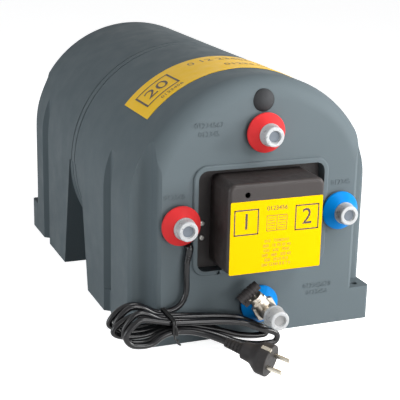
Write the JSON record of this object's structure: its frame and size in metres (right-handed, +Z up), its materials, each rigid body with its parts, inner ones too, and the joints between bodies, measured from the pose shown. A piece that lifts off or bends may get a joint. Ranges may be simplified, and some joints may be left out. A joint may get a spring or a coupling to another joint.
{
  "type": "storage water heater",
  "caption": "Horizontal drum water heater on moulded saddle feet, with colour-collared ports, a connection box, an inlet relief valve and a tied mains lead.",
  "frame": {"origin": "bottom centre of the bounding box of the heater without its mains lead, on the floor", "axes": "+X to the right seen from the connection side, +Y from the connection side to the rear end, +Z up"},
  "size_m": [0.348, 0.6379, 0.3141],
  "materials": {
    "casing": "fine-grained moulded plastic, blue-grey",
    "foam": "rigid cellular foam, pale yellow",
    "steel": "pickled stainless steel",
    "pipe": "drawn stainless tube",
    "anode": "dull cast",
    "gasket": "black rubber",
    "zinc": "zinc plated",
    "red": "red moulded plastic",
    "blue": "blue moulded plastic",
    "cap": "milky translucent plastic",
    "nickel": "nickel plated brass",
    "black": "black moulded plastic, satin",
    "inner_plastic": "dark moulded plastic",
    "button": "red button",
    "label": "printed yellow film",
    "rubber_plug": "dark grey rubber",
    "lead": "black sheath, satin",
    "tie": "bare wire",
    "pins": "nickel plated brass"
  },
  "bodies": {
    "heater": {"front_shell": "casing", "rear_shell": "casing", "insulation_front": "foam", "insulation_rear": "foam", "tank_barrel": "steel", "tank_front_head": "steel", "tank_rear_head": "steel", "tank_flange": "steel", "element_flange": "steel", "exchanger_tube": "pipe", "hot_outlet": "pipe", "cold_inlet": "pipe", "engine_inlet": "pipe", "engine_outlet": "pipe", "heating_element": "pipe", "thermostat_pocket": "pipe", "anode_rod": "anode", "flange_gasket": "gasket", "flange_bolts": "zinc", "base_screws": "zinc", "lever_pin": "zinc", "check_spring": "zinc", "relief_spring": "zinc", "hot_outlet_collar": "red", "engine_inlet_collar": "red", "cold_inlet_collar": "blue", "engine_outlet_collar": "blue", "valve_body": "nickel", "relief_bonnet": "nickel", "box_cover": "black", "box_base": "inner_plastic", "thermostat": "inner_plastic", "terminal_block": "inner_plastic", "cover_label": "label", "band_label": "label", "power_cord": "lead", "cord_hank": "lead", "cord_tail": "lead", "cord_gland": "lead", "plug_body": "lead", "cord_tie": "tie", "plug_pins": "pins", "plug_earth_clips": "pins"},
    "check_disc": {"check_poppet": "black"},
    "relief_valve": {"relief_stem": "zinc"},
    "lever": {"test_lever": "black"},
    "reset": {"reset_button": "button"},
    "hot_cap": {"hot_outlet_cap": "cap"},
    "engine_inlet_protector": {"engine_inlet_cap": "cap"},
    "engine_outlet_protector": {"engine_outlet_cap": "cap"},
    "valve_protector": {"valve_cap": "cap"},
    "top_plug": {"dome_plug": "rubber_plug"}
  },
  "joints": [
    {"name": "check_open", "type": "slide", "parent": "heater", "child": "check_disc", "axis": [0, 1, 0], "range_m": [0, 0.003], "stiffness_N_per_m": 60, "springref_m": -0.004, "deforming": ["check_spring"]},
    {"name": "lever_pivot", "type": "hinge", "parent": "heater", "child": "lever", "pos_m": [-0.03175, -0.246, 0.05839], "axis": [0, -1, 0], "range_deg": [0, 12]},
    {"name": "relief_lift", "type": "slide", "parent": "heater", "child": "relief_valve", "axis": [-0.6428, 0, 0.766], "range_m": [0, 0.0025], "deforming": ["relief_spring"]},
    {"name": "reset_press", "type": "slide", "parent": "heater", "child": "reset", "axis": [0, 1, 0], "range_m": [0, 0.0015], "stiffness_N_per_m": 200, "springref_m": -0.001},
    {"name": "hot_cap_pull", "type": "slide", "parent": "heater", "child": "hot_cap", "axis": [0, -1, 0], "range_m": [0, 0.014]},
    {"name": "engine_inlet_cap_pull", "type": "slide", "parent": "heater", "child": "engine_inlet_protector", "axis": [0, -1, 0], "range_m": [0, 0.014]},
    {"name": "engine_outlet_cap_pull", "type": "slide", "parent": "heater", "child": "engine_outlet_protector", "axis": [0, -1, 0], "range_m": [0, 0.014]},
    {"name": "valve_cap_pull", "type": "slide", "parent": "heater", "child": "valve_protector", "axis": [0, -1, 0], "range_m": [0, 0.018]},
    {"name": "top_plug_pull", "type": "slide", "parent": "heater", "child": "top_plug", "axis": [0, -1, 0], "range_m": [0, 0.016]}
  ],
  "couplings": [
    {"joint": "lever_pivot", "follows": "relief_lift", "rad_per_m": 83.7}
  ]
}
